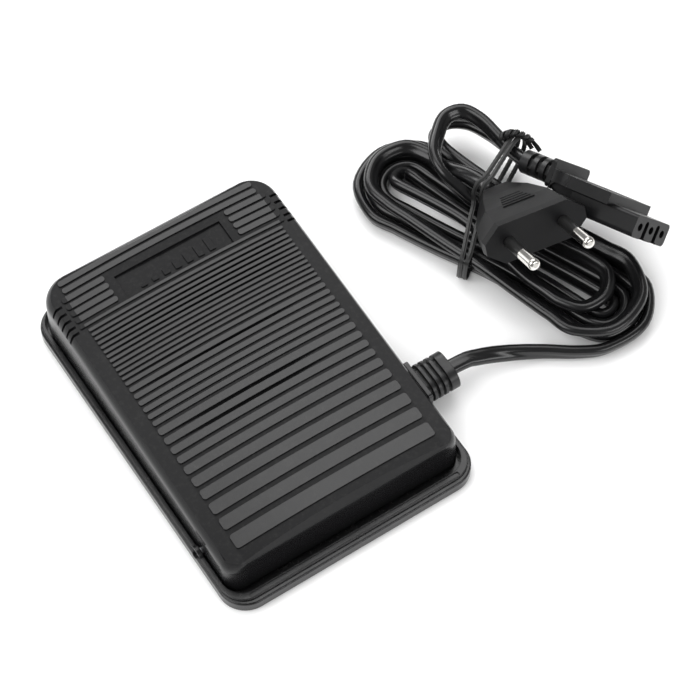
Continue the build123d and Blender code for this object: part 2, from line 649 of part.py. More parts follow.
# --------------------------------------------------- where the cord comes in
CLAMP_TOP = CORD_Z + CORD_T / 2 + 1.6
SEAT_Z = CORD_Z - CORD_T / 2
with BuildPart() as cord_clamp:
    with Locations((CLAMP_X, CORD_Y, SEAT_Z)):
        Box(5.0, 2 * CLAMP_POST_Y + 5.0, CLAMP_TOP - SEAT_Z, align=UP)
    with Locations((CLAMP_X, CORD_Y, SEAT_Z)):
        Box(8.0, CORD_W + 0.1, CORD_T + 0.02, align=UP, mode=Mode.SUBTRACT)
    for side in (-1, 1):
        with Locations((CLAMP_X, CORD_Y + side * CLAMP_POST_Y, SEAT_Z)):
            Cylinder(1.2, 10, align=UP, mode=Mode.SUBTRACT)
save(cord_clamp.part, "cord_clamp")

with BuildPart() as clamp_screws:
    for side in (-1, 1):
        screw(CLAMP_X, CORD_Y + side * CLAMP_POST_Y, CLAMP_TOP, 2.0, 1.4, 1.0, 9.0)
save(clamp_screws.part, "clamp_screws")

BUSH_W, BUSH_H = 13.6, 9.0
with BuildPart() as cord_bushing:
    for x0, x1, w, h in (
        (39.9, 42.8, BUSH_W, BUSH_H),
        (42.7, 52.6, 11.0, 6.0),
        (45.9, 47.0, BUSH_W, BUSH_H),
        (48.0, 49.1, BUSH_W, BUSH_H),
        (50.1, 51.2, BUSH_W, BUSH_H),
        (52.4, 55.4, BUSH_W, BUSH_H),
    ):
        with BuildSketch(Plane((x0, CORD_Y, CORD_Z), **AXIS_X_AT)):
            SlotOverall(w, h)
        extrude(amount=x1 - x0)
    with BuildSketch(Plane((39, CORD_Y, CORD_Z), **AXIS_X_AT)):
        RectangleRounded(CORD_W + 0.06, CORD_T + 0.06, 0.6)
    extrude(amount=18, mode=Mode.SUBTRACT)
save(cord_bushing.part, "cord_bushing")

# ------------------------------------------------------ the tied hank of cord
# The hank lies beside the tray, its long way running from the far toe side to
# the near heel side.  "along" is measured that way from its middle, "across"
# to the right of it.  Turns lie in four nests, in two layers.  Every cord point
# is (x, y, z, lean), lean being the angle of the cord's long side above level.
HANK_MID = (98.5, 3.0)
HANK_DIR = (0.342, -0.940)
NEST_HALF = 3.2
NEST_PITCH = 3.8
STRAIGHT_HALF = 39.5
LAYER_Z = (3.0, 8.3)
WAIST = 1.2
SPREAD = 0.003
UPPER_LAP_SHORT = 9.0
MAINS_SHORT = 4.0
LOWER_LEAN = 106
UPPER_LEAN = 138
MAINS_LEAN = 42
TURN_STEP = 0.04


def ease(t):
    """Smooth step from 0 to 1."""
    t = max(0.0, min(1.0, t))
    return t * t * (3 - 2 * t)


def on_floor(along, across):
    """Plan position of a point of the hank, drawn in where it is tied."""
    across *= 1 + SPREAD * abs(along)
    waist = WAIST * exp(-(((along + 6) / 22) ** 2))
    if across > 0:
        across -= min(waist, across)
    else:
        across += min(waist, -across)
    x = HANK_MID[0] + HANK_DIR[0] * along - HANK_DIR[1] * across
    y = HANK_MID[1] + HANK_DIR[1] * along + HANK_DIR[0] * across
    return x, y


def on_turn(nest, turn, short=0.0):
    """Plan position on a long loop: 0 is the left middle, going nearwards.

    The near bend comes short of the full length by the amount given.
    """
    half = NEST_HALF + NEST_PITCH * nest
    near = STRAIGHT_HALF - short
    turn %= 1.0
    if turn < 0.18:
        return on_floor(near * turn / 0.18, -half)
    if turn < 0.32:
        bend = (turn - 0.18) / 0.14 * pi
        return on_floor(near + half * sin(bend), -half * cos(bend))
    if turn < 0.5:
        return on_floor(near * (1 - (turn - 0.32) / 0.18), half)
    if turn < 0.68:
        return on_floor(STRAIGHT_HALF * (1 - (turn - 0.32) / 0.18), half)
    if turn < 0.82:
        bend = (turn - 0.68) / 0.14 * pi
        return on_floor(-STRAIGHT_HALF - half * sin(bend), half * cos(bend))
    return on_floor(-STRAIGHT_HALF * (1 - (turn - 0.82) / 0.18), -half)


def pedal_turn(turn):
    """One point of the cord from the tray, wound inwards, then up and out."""
    lap = int(turn + 0.09)
    nests = (3, 2, 1, 0, 1.45)
    before = nests[max(lap - 1, 0)]
    nest = before + (nests[lap] - before) * ease((turn - lap + 0.09) / 0.2)
    x, y = on_turn(nest, turn, UPPER_LAP_SHORT if turn > 4 else 0.0)
    z = LAYER_Z[0] + (LAYER_Z[1] - LAYER_Z[0]) * ease((turn - 3.58) / 0.32)
    upper = ease((turn - 3.9) / 0.1) * ease((4.42 - turn) / 0.2)
    return x, y, z, LOWER_LEAN + (UPPER_LEAN - LOWER_LEAN) * upper


def mains_turn(turn):
    """One point of the mains cord: the outer lap of the upper layer."""
    nest = 3 - ease((turn - 1.0) / 0.2)
    x, y = on_turn(nest, 1 - turn, MAINS_SHORT)
    return x, y, LAYER_Z[1], MAINS_LEAN


TURN_FIRST = 0.215
PEDAL_TURNS = [pedal_turn(TURN_FIRST + TURN_STEP * i) for i in range(108)]
PEDAL_EXIT = [
    (98.6, 17.6, 8.9, 100),
    (95.9, 24.0, 11.4, 90),
    (93.8, 31.0, 14.4, 72),
    (95.2, 38.0, 15.8, 58),
    (100.6, 44.0, 16.2, 50),
    (106.5, 48.0, 16.2, 45),
    (112.6, 47.0, 16.1, 50),
    (115.8, 41.0, 15.6, 62),
    (117.0, 33.0, 14.9, 78),
    (117.7, 25.5, 14.4, 90),
    (118.5, 19.9, 15.2, 90),
]
MAINS_START = [
    (122.4, 19.8, 10.7, 90),
    (121.2, 25.5, 9.0, 90),
    (119.8, 32.0, 8.4, 80),
    (118.0, 38.5, 8.3, 70),
    (114.5, 46.0, 8.3, 60),
    (108.5, 50.0, 8.3, 52),
    (103.2, 48.8, 8.3, 46),
    (101.7, 43.6, 8.3, 42),
]
MAINS_TURNS = [mains_turn(0.37 + TURN_STEP * i) for i in range(25)]
MAINS_EXIT = [
    (97.0, 37.2, 9.0, 42),
    (98.4, 32.4, 10.6, 36),
    (100.6, 27.5, 12.2, 26),
    (102.2, 22.5, 13.2, 14),
    (102.7, 18.5, 13.7, 5),
    (102.6, 15.4, 14.6, 0),
    (102.3, 12.9, 15.95, 0),
]
CORD_INNER_END = 31.0
LEAD = [
    (CORD_INNER_END, CORD_Y, CORD_Z, 0),
    (58.0, CORD_Y, CORD_Z, 0),
    (66.0, -29.6, 6.4, 15),
    (76.0, -32.8, 4.3, 50),
    (86.0, -37.8, 3.1, 80),
    (95.5, -44.2, 3.0, 95),
]
CORD_CORNER = 0.9


def leaning(point, direction, angle):
    """Plane across the cord, its long side turned up from level by angle."""
    heading = Vector(direction).normalized()
    sideways = Vector(-heading.Y, heading.X, 0).normalized()
    long_side = sideways * cos(angle * pi / 180) + Vector(0, 0, 1) * sin(angle * pi / 180)
    return Plane(point, x_dir=long_side, z_dir=heading)


def cord_outline():
    """Cross-section of the flat cord, long side along the local X."""
    half_w, half_t, corner = CORD_W / 2, CORD_T / 2, CORD_CORNER
    Polygon(
        (half_w, -half_t + corner), (half_w, half_t - corner),
        (half_w - corner, half_t), (-half_w + corner, half_t),
        (-half_w, half_t - corner), (-half_w, -half_t + corner),
        (-half_w + corner, -half_t), (half_w - corner, -half_t),
        align=None,
    )


def heading_at(line, i):
    """Direction of a line of points at its point i."""
    before = Vector(*line[max(i - 1, 0)][:3])
    after = Vector(*line[min(i + 1, len(line) - 1)][:3])
    return (after - before).normalized()


with BuildPart() as pedal_cord:
    # from flat at the bushing the cord twists a quarter turn onto its edge
    pedal_line = LEAD + PEDAL_TURNS + PEDAL_EXIT
    for i, (x, y, z, lean) in enumerate(pedal_line):
        heading = Vector(1, 0, 0) if x <= LEAD[1][0] else heading_at(pedal_line, i)
        with BuildSketch(leaning((x, y, z), heading, lean)):
            cord_outline()
    loft(ruled=True)
save(pedal_cord.part, "pedal_cord")

with BuildPart() as mains_cord:
    mains_line = MAINS_START + MAINS_TURNS + MAINS_EXIT
    for i, (x, y, z, lean) in enumerate(mains_line):
        with BuildSketch(leaning((x, y, z), heading_at(mains_line, i), lean)):
            cord_outline()
    loft(ruled=True)
save(mains_cord.part, "mains_cord")

WIRE_R = 0.8
with BuildPart() as core_wires:
    for side in (-1, 1):
        with BuildLine() as wire:
            Spline(
                (CORD_INNER_END, CORD_Y + side * 1.3, CORD_Z),
                (27.0, CORD_Y + side * 1.6, CORD_Z + 0.6),
                (TERM_X - side * 2.5 + 3.0, TERM_Y - 10.0 + side * 0.8, TERM_WIRE_Z),
                (TERM_X - side * 2.5, TERM_Y - 4.5, TERM_WIRE_Z),
                (TERM_X - side * 2.5, TERM_Y - 1.5, TERM_WIRE_Z),
                tangents=[(-1, 0, 0), (0, 1, 0)],
            )
        with BuildSketch(Plane(wire.line @ 0, z_dir=wire.line % 0)):
            Circle(WIRE_R)
        sweep(path=wire.line)
save(core_wires.part, "core_wires")

# ---------------------------------------------------------------- twist tie
# One flat strip: its short end, round the hank and back over itself.
TIE_WIDTH, TIE_T = 2.4, 0.7
TIE_ACROSS = (-0.573, 0.82, 0)
TIE_LINE = [
    (125.4, 22.6, 12.9),
    (124.9, 24.8, 14.6),
    (123.4, 26.4, 17.4),
    (120.8, 27.2, 19.3),
    (117.6, 26.2, 19.3),
    (110.0, 22.4, 18.6),
    (103.6, 19.2, 18.1),
    (100.3, 18.3, 18.0),
    (98.0, 17.0, 15.2),
    (96.8, 15.0, 12.6),
    (92.5, 11.0, 11.8),
    (88.5, 7.2, 11.7),
    (83.6, 2.4, 11.65),
    (81.3, 0.6, 10.6),
    (80.55, 0.1, 8.0),
    (80.35, -0.1, 4.4),
    (80.9, 0.35, 1.3),
    (83.4, 2.2, -0.17),
    (92.0, 10.0, -0.18),
    (108.0, 20.8, -0.18),
    (116.0, 25.2, 1.4),
    (121.6, 28.0, 4.2),
    (124.4, 29.6, 7.6),
    (124.6, 29.8, 11.6),
    (122.8, 29.6, 16.0),
    (119.8, 29.6, 18.8),
    (116.6, 29.2, 19.8),
]
with BuildPart() as twist_tie:
    for i, point in enumerate(TIE_LINE):
        with BuildSketch(Plane(point, x_dir=TIE_ACROSS, z_dir=heading_at(TIE_LINE, i))):
            Rectangle(TIE_WIDTH, TIE_T)
    loft(ruled=True)
save(twist_tie.part, "twist_tie")

# ---------------------------------------------------------------- mains plug
PLUG_AT = (98.45, -13.35, 31.0)
PLUG_SIDE = (0.9899, -0.142, 0)
PLUG_DIR = (-0.125, -0.861, 0.494)
PLUG = Plane(PLUG_AT, x_dir=PLUG_SIDE, z_dir=PLUG_DIR)
PIN_SPACING = 19.0
PIN_R = 2.0
PIN_CORE_R = 1.45
PIN_ROOT = 7.0
SLEEVE_LEN = 10.0
PIN_LEN = 19.0
PLUG_SECTIONS = [
    (0.0, 17.65, 6.85, 12.0, 2.0),
    (3.0, 17.65, 6.85, 12.0, 2.0),
    (12.0, 15.4, 6.6, 11.0, 2.2),
    (21.0, 10.6, 5.8, 8.0, 2.3),
    (30.0, 5.6, 4.0, 4.0, 1.8),
]


def plug_outline(half_w, half_h, flat, edge):
    """Flattened octagon across the plug."""
    Polygon(
        (half_w, -edge), (half_w, edge), (flat, half_h), (-flat, half_h),
        (-half_w, edge), (-half_w, -edge), (-flat, -half_h), (flat, -half_h),
        align=None,
    )


with BuildPart() as plug_body:
    for back, half_w, half_h, flat, edge in PLUG_SECTIONS:
        with BuildSketch(PLUG.offset(-back)):
            plug_outline(half_w, half_h, flat, edge)
    loft(ruled=True)
    # five grip ridges above and below
    for face in (-1, 1):
        for row in range(5):
            with Locations(PLUG.offset(-10.5 - 1.7 * row)):
                with Locations((0, face * (6.2 - 0.17 * row), 0)):
                    Box(11.0 - 1.0 * row, 1.5, 0.6)
    with BuildSketch(PLUG):
        with GridLocations(PIN_SPACING, 1, 2, 1):
            Circle(PIN_R - 0.05)
    extrude(amount=-PIN_ROOT - 0.2, mode=Mode.SUBTRACT)
save(plug_body.part, "plug_body")

with BuildPart() as plug_pins:
    with BuildSketch(PLUG.offset(-PIN_ROOT)):
        with GridLocations(PIN_SPACING, 1, 2, 1):
            Circle(PIN_CORE_R)
    extrude(amount=PIN_ROOT + SLEEVE_LEN + 1)
    with BuildSketch(PLUG.offset(SLEEVE_LEN)):
        with GridLocations(PIN_SPACING, 1, 2, 1):
            Circle(PIN_R)
    extrude(amount=PIN_LEN - SLEEVE_LEN)
    tip_z = PLUG.offset(PIN_LEN)
    tip_edges = [
        edge for edge in plug_pins.edges().filter_by(GeomType.CIRCLE)
        if abs(tip_z.to_local_coords(edge.arc_center).Z) < 0.01
    ]
    fillet(tip_edges, radius=1.2)
save(plug_pins.part, "plug_pins")

with BuildPart() as pin_sleeves:
    with BuildSketch(PLUG.offset(-PIN_ROOT)):
        with GridLocations(PIN_SPACING, 1, 2, 1):
            Circle(PIN_R - 0.1)
            Circle(PIN_CORE_R + 0.02, mode=Mode.SUBTRACT)
    extrude(amount=PIN_ROOT + SLEEVE_LEN - 0.03)
save(pin_sleeves.part, "pin_sleeves")

# --------------------------------------------------------- machine connector
SOCKET = Plane((124.8, 5.8, 17.4), x_dir=(0.6493, -0.0366, -0.7597), z_dir=(0.2874, -0.913, 0.2896))
SOCKET_LEN = 37.0
NOSE_HALF = 10.85
NOSE_TOP, NOSE_LOW = -1.5, -9.0
PLATE_W, PLATE_TOP, PLATE_LOW = 13.5, 1.6, -2.4
SIDE_PLANE = Plane(SOCKET.origin, x_dir=SOCKET.z_dir, z_dir=SOCKET.x_dir)
TOP_PLANE = Plane(SOCKET.origin, x_dir=SOCKET.z_dir, z_dir=SOCKET.y_dir)
CONTACT_X = 7.4
KEYWAY_W, KEYWAY_DEEP = 2.1, 5.2
CONTACT_Y = -5.2
with BuildPart() as connector_body:
    # rear flange
    with BuildSketch(SOCKET):
        with Locations((0, 0.2)):
            RectangleRounded(2 * NOSE_HALF, 9.6, 1.5)
    extrude(amount=1.8)
    # core, deepening into the nose
    with BuildSketch(SOCKET.offset(1.0)):
        with Locations((0, -1.6)):
            RectangleRounded(19.0, 5.6, 1.5)
    with BuildSketch(SOCKET.offset(11.0)):
        with Locations((0, (NOSE_TOP + NOSE_LOW) / 2)):
            RectangleRounded(2 * NOSE_HALF, NOSE_TOP - NOSE_LOW, 1.5)
    loft()
    with BuildSketch(SOCKET.offset(11.0)):
        with Locations((0, (NOSE_TOP + NOSE_LOW) / 2)):
            RectangleRounded(2 * NOSE_HALF, NOSE_TOP - NOSE_LOW, 1.5)
    extrude(amount=SOCKET_LEN - 11.0)
    # top plate, wider than the nose
    with BuildSketch(TOP_PLANE.offset(PLATE_LOW)):
        with BuildLine():
            Line((1.0, -NOSE_HALF), (1.0, NOSE_HALF))
            ThreePointArc((1.0, NOSE_HALF), (7.0, NOSE_HALF + 0.7), (10.0, PLATE_W))
            Polyline((10.0, PLATE_W), (26.2, PLATE_W), (26.2, -PLATE_W), (10.0, -PLATE_W))
            ThreePointArc((10.0, -PLATE_W), (7.0, -NOSE_HALF - 0.7), (1.0, -NOSE_HALF))
        make_face()
    extrude(amount=PLATE_TOP - PLATE_LOW)
    # cove from the flange down to the plate
    with BuildSketch(SIDE_PLANE):
        with BuildLine():
            Line((1.5, PLATE_TOP - 1), (1.5, 4.9))
            ThreePointArc((1.5, 4.9), (3.2, 2.6), (8.0, PLATE_TOP))
            Polyline((8.0, PLATE_TOP), (8.0, PLATE_TOP - 1), (1.5, PLATE_TOP - 1))
        make_face()
    extrude(amount=NOSE_HALF - 0.4, both=True)
    # grip panel: a shallow field with short ribs
    with BuildSketch(TOP_PLANE.offset(PLATE_TOP)):
        with Locations((17.2, 0)):
            RectangleRounded(15.0, 22.0, 1.0)
    extrude(amount=-0.5, mode=Mode.SUBTRACT)
    with BuildSketch(TOP_PLANE.offset(PLATE_TOP - 0.6)):
        with Locations((17.2, 0)):
            with GridLocations(2.4, 6.6, 6, 3):
                RectangleRounded(1.1, 5.4, 0.5)
    extrude(amount=0.5)
    # three contact bores and two keyways open to the underside
    with BuildSketch(SOCKET.offset(SOCKET_LEN)):
        with Locations(*[(x, CONTACT_Y) for x in (-CONTACT_X, 0, CONTACT_X)]):
            Circle(1.3)
    extrude(amount=-16, mode=Mode.SUBTRACT)
    with BuildSketch(SOCKET.offset(SOCKET_LEN)):
        for x in (-CONTACT_X / 2, CONTACT_X / 2):
            with Locations((x, NOSE_LOW + KEYWAY_DEEP / 2)):
                SlotOverall(KEYWAY_DEEP + 2, KEYWAY_W, rotation=90)
            with Locations((x, NOSE_LOW)):
                Rectangle(KEYWAY_W + 1.6, 1.0)
    extrude(amount=-12, mode=Mode.SUBTRACT)
save(connector_body.part, "connector_body")

with BuildPart() as connector_contacts:
    with BuildSketch(SOCKET.offset(SOCKET_LEN - 3)):
        with Locations(*[(x, CONTACT_Y) for x in (-CONTACT_X, 0, CONTACT_X)]):
            Circle(1.27)
            Circle(0.95, mode=Mode.SUBTRACT)
    extrude(amount=-12)
save(connector_contacts.part, "connector_contacts")

RELIEF_LEN = 14.6
with BuildPart() as connector_relief:
    with BuildSketch(SOCKET.offset(-0.02)):
        SlotOverall(13.4, 8.0)
    extrude(amount=-RELIEF_LEN)
    for gap in (3.0, 6.4, 9.8):
        with BuildSketch(SOCKET.offset(-gap)):
            Rectangle(16, 12)
            Rectangle(10.6, 3.2, mode=Mode.SUBTRACT)
        extrude(amount=-1.5, mode=Mode.SUBTRACT)
save(connector_relief.part, "connector_relief")
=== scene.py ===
import math

import bpy
import numpy as np
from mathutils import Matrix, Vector


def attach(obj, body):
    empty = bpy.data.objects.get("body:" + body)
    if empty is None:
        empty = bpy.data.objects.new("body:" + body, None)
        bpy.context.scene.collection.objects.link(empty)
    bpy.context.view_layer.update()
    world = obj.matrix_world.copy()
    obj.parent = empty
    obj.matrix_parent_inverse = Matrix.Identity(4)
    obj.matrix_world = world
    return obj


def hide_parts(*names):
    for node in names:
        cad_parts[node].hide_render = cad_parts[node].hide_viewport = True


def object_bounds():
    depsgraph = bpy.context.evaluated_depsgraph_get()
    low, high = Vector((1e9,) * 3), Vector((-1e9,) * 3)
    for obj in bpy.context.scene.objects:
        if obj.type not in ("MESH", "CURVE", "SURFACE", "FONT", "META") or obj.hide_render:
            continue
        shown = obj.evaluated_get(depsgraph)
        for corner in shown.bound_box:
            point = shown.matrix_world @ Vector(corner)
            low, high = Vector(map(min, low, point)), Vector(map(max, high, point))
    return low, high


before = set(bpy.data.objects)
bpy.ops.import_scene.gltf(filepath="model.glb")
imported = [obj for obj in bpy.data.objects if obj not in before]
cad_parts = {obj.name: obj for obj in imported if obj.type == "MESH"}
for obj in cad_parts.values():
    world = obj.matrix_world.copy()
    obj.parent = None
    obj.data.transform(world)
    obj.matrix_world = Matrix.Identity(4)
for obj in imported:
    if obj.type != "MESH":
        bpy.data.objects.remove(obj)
rest_low, rest_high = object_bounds()

# ------------------------------------------------------------------ materials
# Every finish is procedural: a fine grain in the bump and a slow change in gloss and colour.
# Most also have edges softened in the shading, and some a faint dust tint on faces that look up.


def new_material(name):
    mat = bpy.data.materials.new(name)
    mat.use_nodes = True
    tree = mat.node_tree
    shader = tree.nodes["Principled BSDF"]
    return mat, tree, shader


def noise(tree, coord, scale, detail=3.0, rough=0.55):
    node = tree.nodes.new("ShaderNodeTexNoise")
    node.inputs["Scale"].default_value = scale
    node.inputs["Detail"].default_value = detail
    node.inputs["Roughness"].default_value = rough
    tree.links.new(coord, node.inputs["Vector"])
    return node.outputs["Fac"]


def ramp(tree, fac, low, high, a=0.3, b=0.7):
    node = tree.nodes.new("ShaderNodeMapRange")
    node.inputs["From Min"].default_value = a
    node.inputs["From Max"].default_value = b
    node.inputs["To Min"].default_value = low
    node.inputs["To Max"].default_value = high
    tree.links.new(fac, node.inputs["Value"])
    return node.outputs["Result"]


DUST_COLOUR = (0.33, 0.32, 0.30, 1)


def finish_of(name, color, rough, metallic=0.0, grain=9000, grain_depth=0.01, gloss_change=0.06,
              edge=0.00025, dust=0.0, tint=0.15, stretch=None, coat=0.0, specular=0.5):
    """One surface finish: grain is per metre, grain_depth in millimetres and edge in metres."""
    mat, tree, shader = new_material(name)
    nodes, links = tree.nodes, tree.links
    place = nodes.new("ShaderNodeTexCoord").outputs["Object"]
    if stretch:
        mapping = nodes.new("ShaderNodeMapping")
        mapping.inputs["Scale"].default_value = stretch
        links.new(place, mapping.inputs["Vector"])
        place = mapping.outputs["Vector"]
    fine = noise(tree, place, grain, 2.0)
    slow = noise(tree, place, 55.0, 4.0)
    links.new(ramp(tree, slow, rough - gloss_change, rough + gloss_change), shader.inputs["Roughness"])
    # colour: a slow drift, plus dust where the surface faces up
    mix = nodes.new("ShaderNodeMix")
    mix.data_type = "RGBA"
    mix.inputs["A"].default_value = (*[c * (1 - tint) for c in color], 1)
    mix.inputs["B"].default_value = (*[min(1, c * (1 + tint)) for c in color], 1)
    links.new(slow, mix.inputs["Factor"])
    colour = mix.outputs["Result"]
    if dust:
        geometry = nodes.new("ShaderNodeNewGeometry")
        split = nodes.new("ShaderNodeSeparateXYZ")
        links.new(geometry.outputs["Normal"], split.inputs["Vector"])
        up = ramp(tree, split.outputs["Z"], 0.0, dust, 0.55, 1.0)
        specks = ramp(tree, noise(tree, place, 700.0, 6.0, 0.7), 0.0, 1.0, 0.5, 0.75)
        amount = nodes.new("ShaderNodeMath")
        amount.operation = "MULTIPLY"
        links.new(up, amount.inputs[0])
        links.new(specks, amount.inputs[1])
        dusty = nodes.new("ShaderNodeMix")
        dusty.data_type = "RGBA"
        dusty.inputs["B"].default_value = DUST_COLOUR
        links.new(amount.outputs["Value"], dusty.inputs["Factor"])
        links.new(colour, dusty.inputs["A"])
        colour = dusty.outputs["Result"]
    links.new(colour, shader.inputs["Base Color"])
    shader.inputs["Metallic"].default_value = metallic
    shader.inputs["Coat Weight"].default_value = coat
    shader.inputs["Coat Roughness"].default_value = 0.12
    shader.inputs["Specular IOR Level"].default_value = specular
    bump = nodes.new("ShaderNodeBump")
    bump.inputs["Strength"].default_value = 1.0
    bump.inputs["Distance"].default_value = grain_depth / 1000
    links.new(fine, bump.inputs["Height"])
    if edge:
        soft = nodes.new("ShaderNodeBevel")
        soft.samples = 4
        soft.inputs["Radius"].default_value = edge
        links.new(soft.outputs["Normal"], bump.inputs["Normal"])
    links.new(bump.outputs["Normal"], shader.inputs["Normal"])
    return mat


BLACK = (0.0075, 0.0075, 0.008)
MATERIALS = {
    "treadle": finish_of("treadle plastic", BLACK, 0.23, grain=5200, grain_depth=0.006,
                         edge=0.00012, dust=0.03, gloss_change=0.03),
    "tray": finish_of("tray plastic", BLACK, 0.20, grain=5200, grain_depth=0.008, edge=0.0004, dust=0.05),
    "rubber": finish_of("rubber", (0.035, 0.035, 0.035), 0.75, grain=2600, grain_depth=0.05, edge=0.0003),
    "soft_pvc": finish_of("soft pvc", (0.009, 0.009, 0.0095), 0.36, grain=6500, grain_depth=0.006,
                          edge=0.0003, dust=0.03),
    "cord_pvc": finish_of("cord pvc", (0.0065, 0.0065, 0.007), 0.24, grain=3500, grain_depth=0.010,
                          edge=0.0, dust=0.02, gloss_change=0.05),
    "plug_pvc": finish_of("plug pvc", (0.0045, 0.0045, 0.005), 0.40, grain=6500, grain_depth=0.006,
                          edge=0.00015, dust=0.02, specular=0.22),
    "black_gloss": finish_of("black mouldings", (0.0055, 0.0055, 0.006), 0.36, grain=6500, grain_depth=0.008,
                             edge=0.00015, dust=0.02, specular=0.26),
    "sleeve": finish_of("pin sleeves", (0.012, 0.012, 0.012), 0.33, grain=7000, grain_depth=0.004,
                        edge=0.0001),
    "nickel": finish_of("nickel", (0.80, 0.78, 0.74), 0.16, metallic=1.0, grain=2200, grain_depth=0.004,
                        edge=0.0003, gloss_change=0.05, tint=0.05),
    "steel": finish_of("drawn steel", (0.55, 0.56, 0.58), 0.30, metallic=1.0, grain=3000, grain_depth=0.01,
                       edge=0.0001, stretch=(0.05, 1, 1)),
    "zinc": finish_of("zinc plate", (0.66, 0.67, 0.70), 0.33, metallic=1.0, grain=2600, grain_depth=0.012,
                      edge=0.0002, tint=0.1),
    "spring": finish_of("spring steel", (0.42, 0.43, 0.45), 0.34, metallic=1.0, grain=2400, grain_depth=0.01,
                        edge=0.0, tint=0.1),
    "aluminium": finish_of("milled aluminium", (0.78, 0.79, 0.81), 0.35, metallic=1.0, grain=1600,
                           grain_depth=0.02, edge=0.0002, stretch=(1, 0.08, 1)),
    "acetal": finish_of("acetal", (0.80, 0.79, 0.74), 0.42, grain=3000, grain_depth=0.01, edge=0.0003),
    "grey": finish_of("grey plastic", (0.12, 0.13, 0.15), 0.45, grain=3500, grain_depth=0.012, edge=0.0003),
    "laminate": finish_of("board laminate", (0.36, 0.22, 0.07), 0.38, grain=1800, grain_depth=0.01,
                          edge=0.0002, tint=0.25),
    "epoxy": finish_of("moulded epoxy", (0.02, 0.02, 0.02), 0.55, grain=5000, grain_depth=0.02, edge=0.0002),
    "yellow": finish_of("capacitor case", (0.72, 0.50, 0.06), 0.30, grain=2600, grain_depth=0.01,
                        edge=0.0004),
    "ferrite": finish_of("ferrite", (0.05, 0.055, 0.05), 0.6, grain=3600, grain_depth=0.03, edge=0.0002),
    "copper": finish_of("enamelled copper", (0.62, 0.22, 0.08), 0.22, metallic=1.0, grain=2600,
                        grain_depth=0.006, edge=0.0, coat=0.6),
    "tan": finish_of("resistor lacquer", (0.58, 0.40, 0.20), 0.30, grain=2600, grain_depth=0.01, edge=0.0002),
    "green": finish_of("terminal housing", (0.03, 0.20, 0.06), 0.42, grain=3200, grain_depth=0.012,
                       edge=0.0003),
    "wire": finish_of("wire insulation", (0.10, 0.16, 0.42), 0.35, grain=2600, grain_depth=0.008, edge=0.0),
    "brass": finish_of("contact brass", (0.72, 0.52, 0.22), 0.28, metallic=1.0, grain=2600,
                       grain_depth=0.006, edge=0.0001),
    "tie": finish_of("tie plastic", (0.012, 0.012, 0.012), 0.38, grain=4200, grain_depth=0.02, edge=0.0001),
}

# The treadle's ribbed top, in metres: height and slope along its middle, fall to each side, half width.
TOP_HEIGHT, TOP_SLOPE = 0.02096, 0.056
CROWN_FALL = 0.0013 / 0.0358**2
RIB_REACH = 0.0360
# Depths below that top over which painted shade (less reflection) fills the channels, and over which the
# painted shade on the rolled border fades back to gloss; then that border shade's strength, and the specular
# of the ribs and of the painted shade.
CHANNEL_DEPTH = (0.00018, 0.00042)
BORDER_DEPTH = (0.0025, 0.0070)
BORDER_PAINTED_SHADE = 0.9
RIB_SPECULAR, PAINTED_SHADE_SPECULAR = 0.5, 0.12


def paint_shade_below_ribs(mat):
    """Paint shade into the channels between the ribs and onto the rolled border, as less reflection there
    than on the ribs.
    """
    tree, nodes, links = mat.node_tree, mat.node_tree.nodes, mat.node_tree.links
    shader = nodes["Principled BSDF"]
    place = nodes.new("ShaderNodeSeparateXYZ")
    links.new(nodes.new("ShaderNodeTexCoord").outputs["Object"], place.inputs["Vector"])

    def calc(operation, a, b):
        step = nodes.new("ShaderNodeMath")
        step.operation = operation
        for socket, value in zip(step.inputs, (a, b)):
            if isinstance(value, float):
                socket.default_value = value
            else:
                links.new(value, socket)
        return step.outputs["Value"]

    fall = calc("MULTIPLY", calc("POWER", calc("ABSOLUTE", place.outputs["X"], 0.0), 2.0), CROWN_FALL)
    surface = calc("SUBTRACT", calc("MULTIPLY", place.outputs["Y"], TOP_SLOPE), fall)
    depth = calc("SUBTRACT", calc("ADD", surface, TOP_HEIGHT), place.outputs["Z"])
    inside = calc("LESS_THAN", calc("ABSOLUTE", place.outputs["X"], 0.0), RIB_REACH)
    # Painted shade in the channels: reflection drops the deeper the surface lies below the rib tops.
    channels = calc("MULTIPLY", ramp(tree, depth, 0.0, 1.0, *CHANNEL_DEPTH), inside)
    outside = calc("SUBTRACT", 1.0, inside)
    # Painted shade on the rolled border beside the ribs, fading out down its walls.
    border = calc("MULTIPLY", outside, ramp(tree, depth, BORDER_PAINTED_SHADE, 0.0, *BORDER_DEPTH))
    painted_shade = nodes.new("ShaderNodeMapRange")
    painted_shade.inputs["To Min"].default_value = RIB_SPECULAR
    painted_shade.inputs["To Max"].default_value = PAINTED_SHADE_SPECULAR
    links.new(calc("MAXIMUM", channels, border), painted_shade.inputs["Value"])
    links.new(painted_shade.outputs["Result"], shader.inputs["Specular IOR Level"])


# Painted shade on the treadle: its channels and rolled border reflect less than its ribs.
paint_shade_below_ribs(MATERIALS["treadle"])

